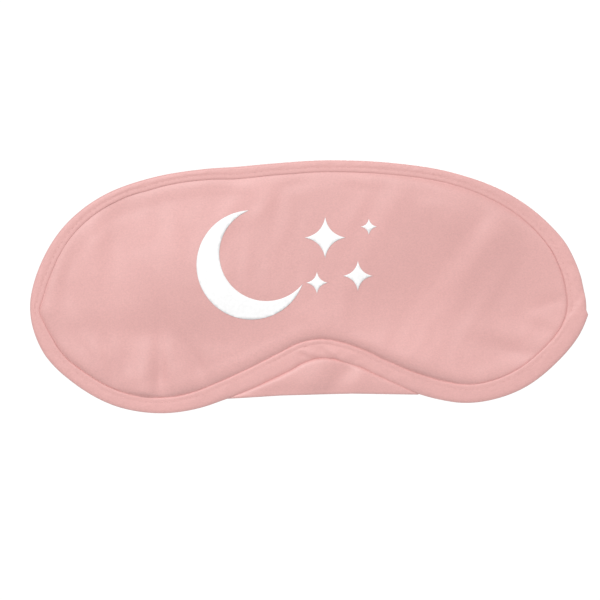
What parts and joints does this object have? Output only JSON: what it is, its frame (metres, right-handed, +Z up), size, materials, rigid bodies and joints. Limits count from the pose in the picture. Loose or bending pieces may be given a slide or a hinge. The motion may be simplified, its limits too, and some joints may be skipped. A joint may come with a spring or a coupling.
{
  "type": "sleep eye mask",
  "caption": "Padded satin sleep mask with a bound edge, a folded nose flap and an elastic strap with a slider.",
  "frame": {"origin": "centre of the back lining, at the height of the temples", "axes": "+X towards the wearer's left, +Y towards the wearer's face, +Z up to the forehead"},
  "size_m": [0.2046, 0.0597, 0.0928],
  "materials": {
    "satin": "pink satin with a soft sheen",
    "lining": "pink satin, slightly flatter",
    "binding": "pink satin bias tape",
    "foam": "cream open-cell foam",
    "thread": "pink polyester sewing thread",
    "print_film": "white heat-set film",
    "elastic": "ribbed woven elastic, pink",
    "slider_plastic": "moulded pink plastic"
  },
  "bodies": {
    "mask": {"front_panel": "satin", "foam_core": "foam", "back_lining": "lining", "edge_binding": "binding", "stitch_front": "thread", "stitch_back": "thread", "flap_stitch": "thread", "bar_tack_left": "thread", "bar_tack_right": "thread", "strap_left": "elastic", "strap_right": "elastic", "print_moon": "print_film", "print_star_1": "print_film", "print_star_2": "print_film", "print_star_3": "print_film", "print_star_4": "print_film"},
    "nose_flap": {"nose_flap": "satin"},
    "slider": {"strap_slider": "slider_plastic", "loop_stitch": "thread"},
    "strap_tail": {"strap_tail": "elastic", "tail_stitch": "thread"}
  },
  "joints": [
    {"name": "flap_fold", "type": "hinge", "parent": "mask", "child": "nose_flap", "pos_m": [0, 0.001, -0.006], "axis": [1, 0, 0], "range_deg": [0, 80]},
    {"name": "strap_pull", "type": "slide", "parent": "mask", "child": "slider", "axis": [0, 1, 0], "range_m": [0, 0.1], "stiffness_N_per_m": 10, "deforming": ["strap_left", "strap_right"]},
    {"name": "tail_feed", "type": "slide", "parent": "slider", "child": "strap_tail", "axis": [1, 0, 0], "range_m": [0, 0.04]}
  ]
}
